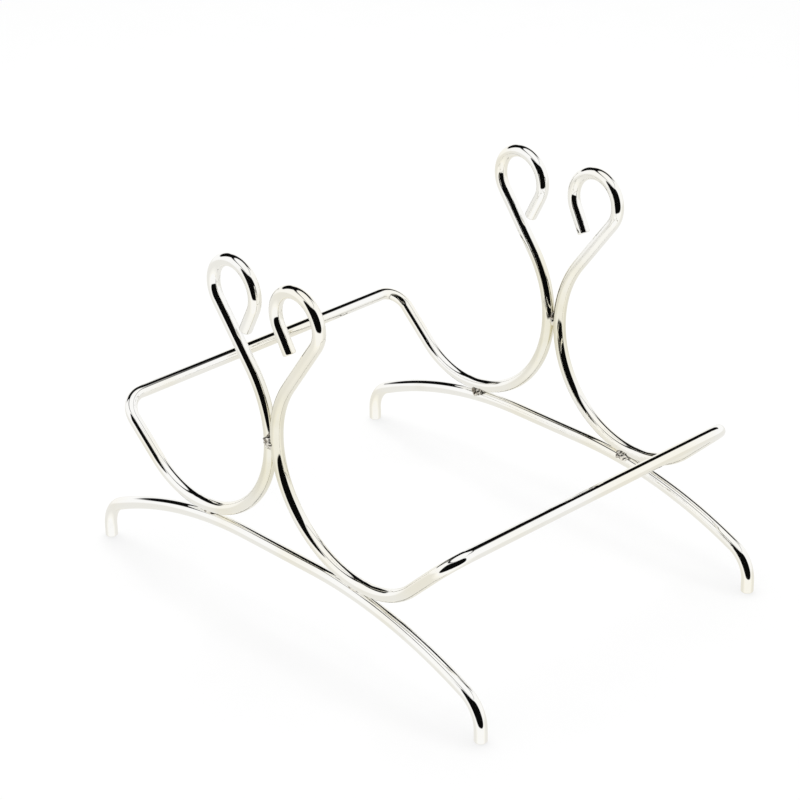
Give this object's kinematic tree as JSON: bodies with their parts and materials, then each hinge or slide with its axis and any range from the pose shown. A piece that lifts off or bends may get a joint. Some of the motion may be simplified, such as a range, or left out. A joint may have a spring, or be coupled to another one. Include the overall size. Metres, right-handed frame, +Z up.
{
  "type": "photo album stand",
  "caption": "Polished bent-wire stand that holds open or closed albums in cradles on both sides, with looped stems, crossbars and arched legs.",
  "frame": {"origin": "on the table, midway between the four feet", "axes": "+X along the crossbars to the right side frame, +Y towards the rear crossbar, +Z up"},
  "size_m": [0.1588, 0.213, 0.1489],
  "materials": {
    "plated_wire": "bright plated steel wire, polished",
    "plated_weld": "plated weld bead, slightly dull and uneven"
  },
  "bodies": {
    "root": {"rear_cradle_wire": "plated_wire", "front_cradle_wire": "plated_wire", "left_leg_wire": "plated_wire", "right_leg_wire": "plated_wire", "left_waist_weld": "plated_weld", "right_waist_weld": "plated_weld", "rear_left_leg_weld": "plated_weld", "rear_right_leg_weld": "plated_weld", "front_left_leg_weld": "plated_weld", "front_right_leg_weld": "plated_weld"}
  },
  "joints": []
}
